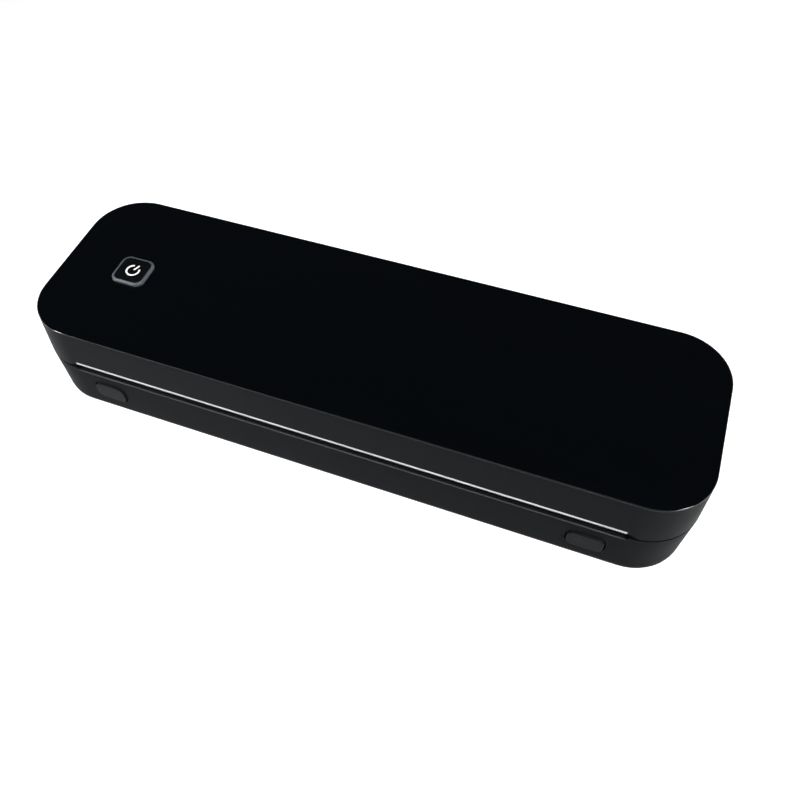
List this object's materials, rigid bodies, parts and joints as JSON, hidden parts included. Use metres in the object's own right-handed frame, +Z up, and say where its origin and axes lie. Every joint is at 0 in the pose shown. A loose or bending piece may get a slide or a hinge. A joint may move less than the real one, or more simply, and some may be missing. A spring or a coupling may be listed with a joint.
{
  "type": "portable thermal printer",
  "caption": "Long flat A4 thermal printer with a rear-hinged lid over a paper roll bay, a front paper slot with a serrated tear bar, and release and power buttons.",
  "frame": {"origin": "centre of the footprint, on the surface that the rubber feet stand on", "axes": "+X along the length, -Y to the front with the paper slot, +Z up"},
  "size_m": [0.265, 0.0801, 0.0513],
  "materials": {
    "lid_plastic": "fine matt texture",
    "gloss_panel": "high gloss",
    "base_plastic": "fine matt texture",
    "inner_plastic": "plain moulded",
    "button_plastic": "smooth matt",
    "bezel_grey": "satin grey ring",
    "cap_gloss": "gloss",
    "steel": "bright ground strip",
    "sheet_steel": "zinc plated sheet",
    "shaft_steel": "ground",
    "spring_steel": "spring temper",
    "screw_steel": "blackened",
    "platen_rubber": "ground rubber",
    "foot_rubber": "matt rubber",
    "aluminium": "extruded",
    "ceramic": "glazed",
    "epoxy": "potting compound",
    "gear_plastic": "natural acetal",
    "lever_plastic": "glass filled",
    "bearing_plastic": "acetal",
    "motor_steel": "plated can",
    "brass": "turned",
    "board_green": "solder mask",
    "chip_black": "moulded chip",
    "switch_plastic": "moulded",
    "sleeve_blue": "shrink sleeve",
    "socket_steel": "plated"
  },
  "bodies": {
    "base": {"base_shell": "base_plastic", "paper_tray": "inner_plastic", "chassis": "sheet_steel", "head_spring": "spring_steel", "gear_plate": "sheet_steel", "gear_studs": "shaft_steel", "motor_body": "motor_steel", "latch_studs": "shaft_steel", "button_spring_left": "spring_steel", "button_spring_right": "spring_steel", "hinge_pins": "shaft_steel", "main_board": "board_green", "board_chips": "chip_black", "battery_pack": "sleeve_blue", "charge_board": "board_green", "charge_socket": "socket_steel", "paper_sensor": "chip_black", "rubber_feet": "foot_rubber", "base_screws": "screw_steel"},
    "lid": {"lid_shell": "lid_plastic", "top_panel": "gloss_panel", "lid_liner": "inner_plastic", "lid_screws": "screw_steel", "button_bezel": "bezel_grey", "switch_board": "board_green", "push_switch": "switch_plastic", "tear_bar": "steel", "platen_bushings": "bearing_plastic"},
    "power_button": {"power_button": "cap_gloss", "switch_plunger": "switch_plastic"},
    "platen": {"platen_rubber": "platen_rubber", "platen_shaft": "shaft_steel", "platen_gear": "gear_plastic"},
    "idler": {"idler_gear": "gear_plastic"},
    "reduction": {"reduction_gear": "gear_plastic"},
    "motor_rotor": {"motor_pinion": "brass", "motor_shaft": "shaft_steel"},
    "print_head": {"heat_sink": "aluminium", "head_ceramic": "ceramic", "driver_cover": "epoxy"},
    "release_left": {"release_button_left": "button_plastic"},
    "release_right": {"release_button_right": "button_plastic"},
    "latch_left": {"latch_left": "lever_plastic"},
    "latch_right": {"latch_right": "lever_plastic"}
  },
  "joints": [
    {"name": "lid_hinge", "type": "hinge", "parent": "base", "child": "lid", "pos_m": [0, 0.036, 0.0295], "axis": [-1, 0, 0], "range_deg": [0, 75]},
    {"name": "power_press", "type": "slide", "parent": "lid", "child": "power_button", "axis": [0, 0, -1], "range_m": [0, 0.0005], "stiffness_N_per_m": 900, "springref_m": -0.0006},
    {"name": "platen_spin", "type": "hinge", "parent": "lid", "child": "platen", "pos_m": [0, -0.028, 0.0344], "axis": [1, 0, 0], "continuous": true},
    {"name": "idler_spin", "type": "hinge", "parent": "base", "child": "idler", "pos_m": [0.1195, -0.028, 0.023], "axis": [1, 0, 0], "continuous": true},
    {"name": "reduction_spin", "type": "hinge", "parent": "base", "child": "reduction", "pos_m": [0.1195, -0.0246, 0.01402], "axis": [1, 0, 0], "continuous": true},
    {"name": "motor_spin", "type": "hinge", "parent": "base", "child": "motor_rotor", "pos_m": [0.1195, -0.01392, 0.0124], "axis": [1, 0, 0], "continuous": true},
    {"name": "head_tilt", "type": "hinge", "parent": "base", "child": "print_head", "pos_m": [0, -0.0205, 0.027], "axis": [1, 0, 0], "range_deg": [0, 1.5], "stiffness_Nm_per_rad": 6, "springref_deg": -1.72, "deforming": ["head_spring"]},
    {"name": "release_left", "type": "slide", "parent": "base", "child": "release_left", "axis": [0, 1, 0], "range_m": [0, 0.0018], "stiffness_N_per_m": 700, "springref_m": -0.001, "deforming": ["button_spring_left"]},
    {"name": "release_right", "type": "slide", "parent": "base", "child": "release_right", "axis": [0, 1, 0], "range_m": [0, 0.0018], "stiffness_N_per_m": 700, "springref_m": -0.001, "deforming": ["button_spring_right"]},
    {"name": "latch_left_swing", "type": "hinge", "parent": "base", "child": "latch_left", "pos_m": [-0.1127, -0.03117, 0.0058], "axis": [-1, 0, 0], "range_deg": [0, 10]},
    {"name": "latch_right_swing", "type": "hinge", "parent": "base", "child": "latch_right", "pos_m": [0.1127, -0.03117, 0.0058], "axis": [-1, 0, 0], "range_deg": [0, 10]}
  ],
  "couplings": [
    {"joint": "idler_spin", "follows": "platen_spin", "ratio": -1.1111},
    {"joint": "reduction_spin", "follows": "platen_spin", "ratio": 1.4286},
    {"joint": "motor_spin", "follows": "platen_spin", "ratio": -3.7143},
    {"joint": "latch_left_swing", "follows": "release_left", "rad_per_m": 77.72},
    {"joint": "latch_right_swing", "follows": "release_right", "rad_per_m": 77.72}
  ]
}
